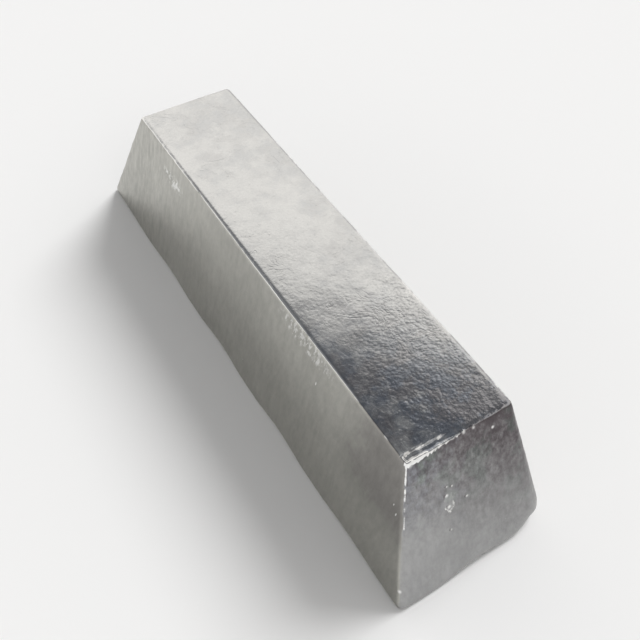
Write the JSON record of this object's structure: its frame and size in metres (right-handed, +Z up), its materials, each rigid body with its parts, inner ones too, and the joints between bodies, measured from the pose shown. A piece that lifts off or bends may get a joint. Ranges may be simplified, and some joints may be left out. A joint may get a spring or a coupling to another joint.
{
  "type": "magnesium ingot",
  "caption": "Long cast magnesium ingot, a bar tapering to its top face on all sides, with rounded edges and a wavy cast rim; raw stock for melting, alloying or stacking.",
  "frame": {"origin": "middle of the wide face that the ingot rests on", "axes": "+Z up from the resting face to the narrow top face, +Y along the length, +X across the width"},
  "size_m": [0.1249, 0.4526, 0.102],
  "materials": {
    "cast_magnesium": "as cast: satin grey skin with fine ripples, bright worn edges and darker oxide tints"
  },
  "bodies": {
    "root": {"ingot": "cast_magnesium"}
  },
  "joints": []
}
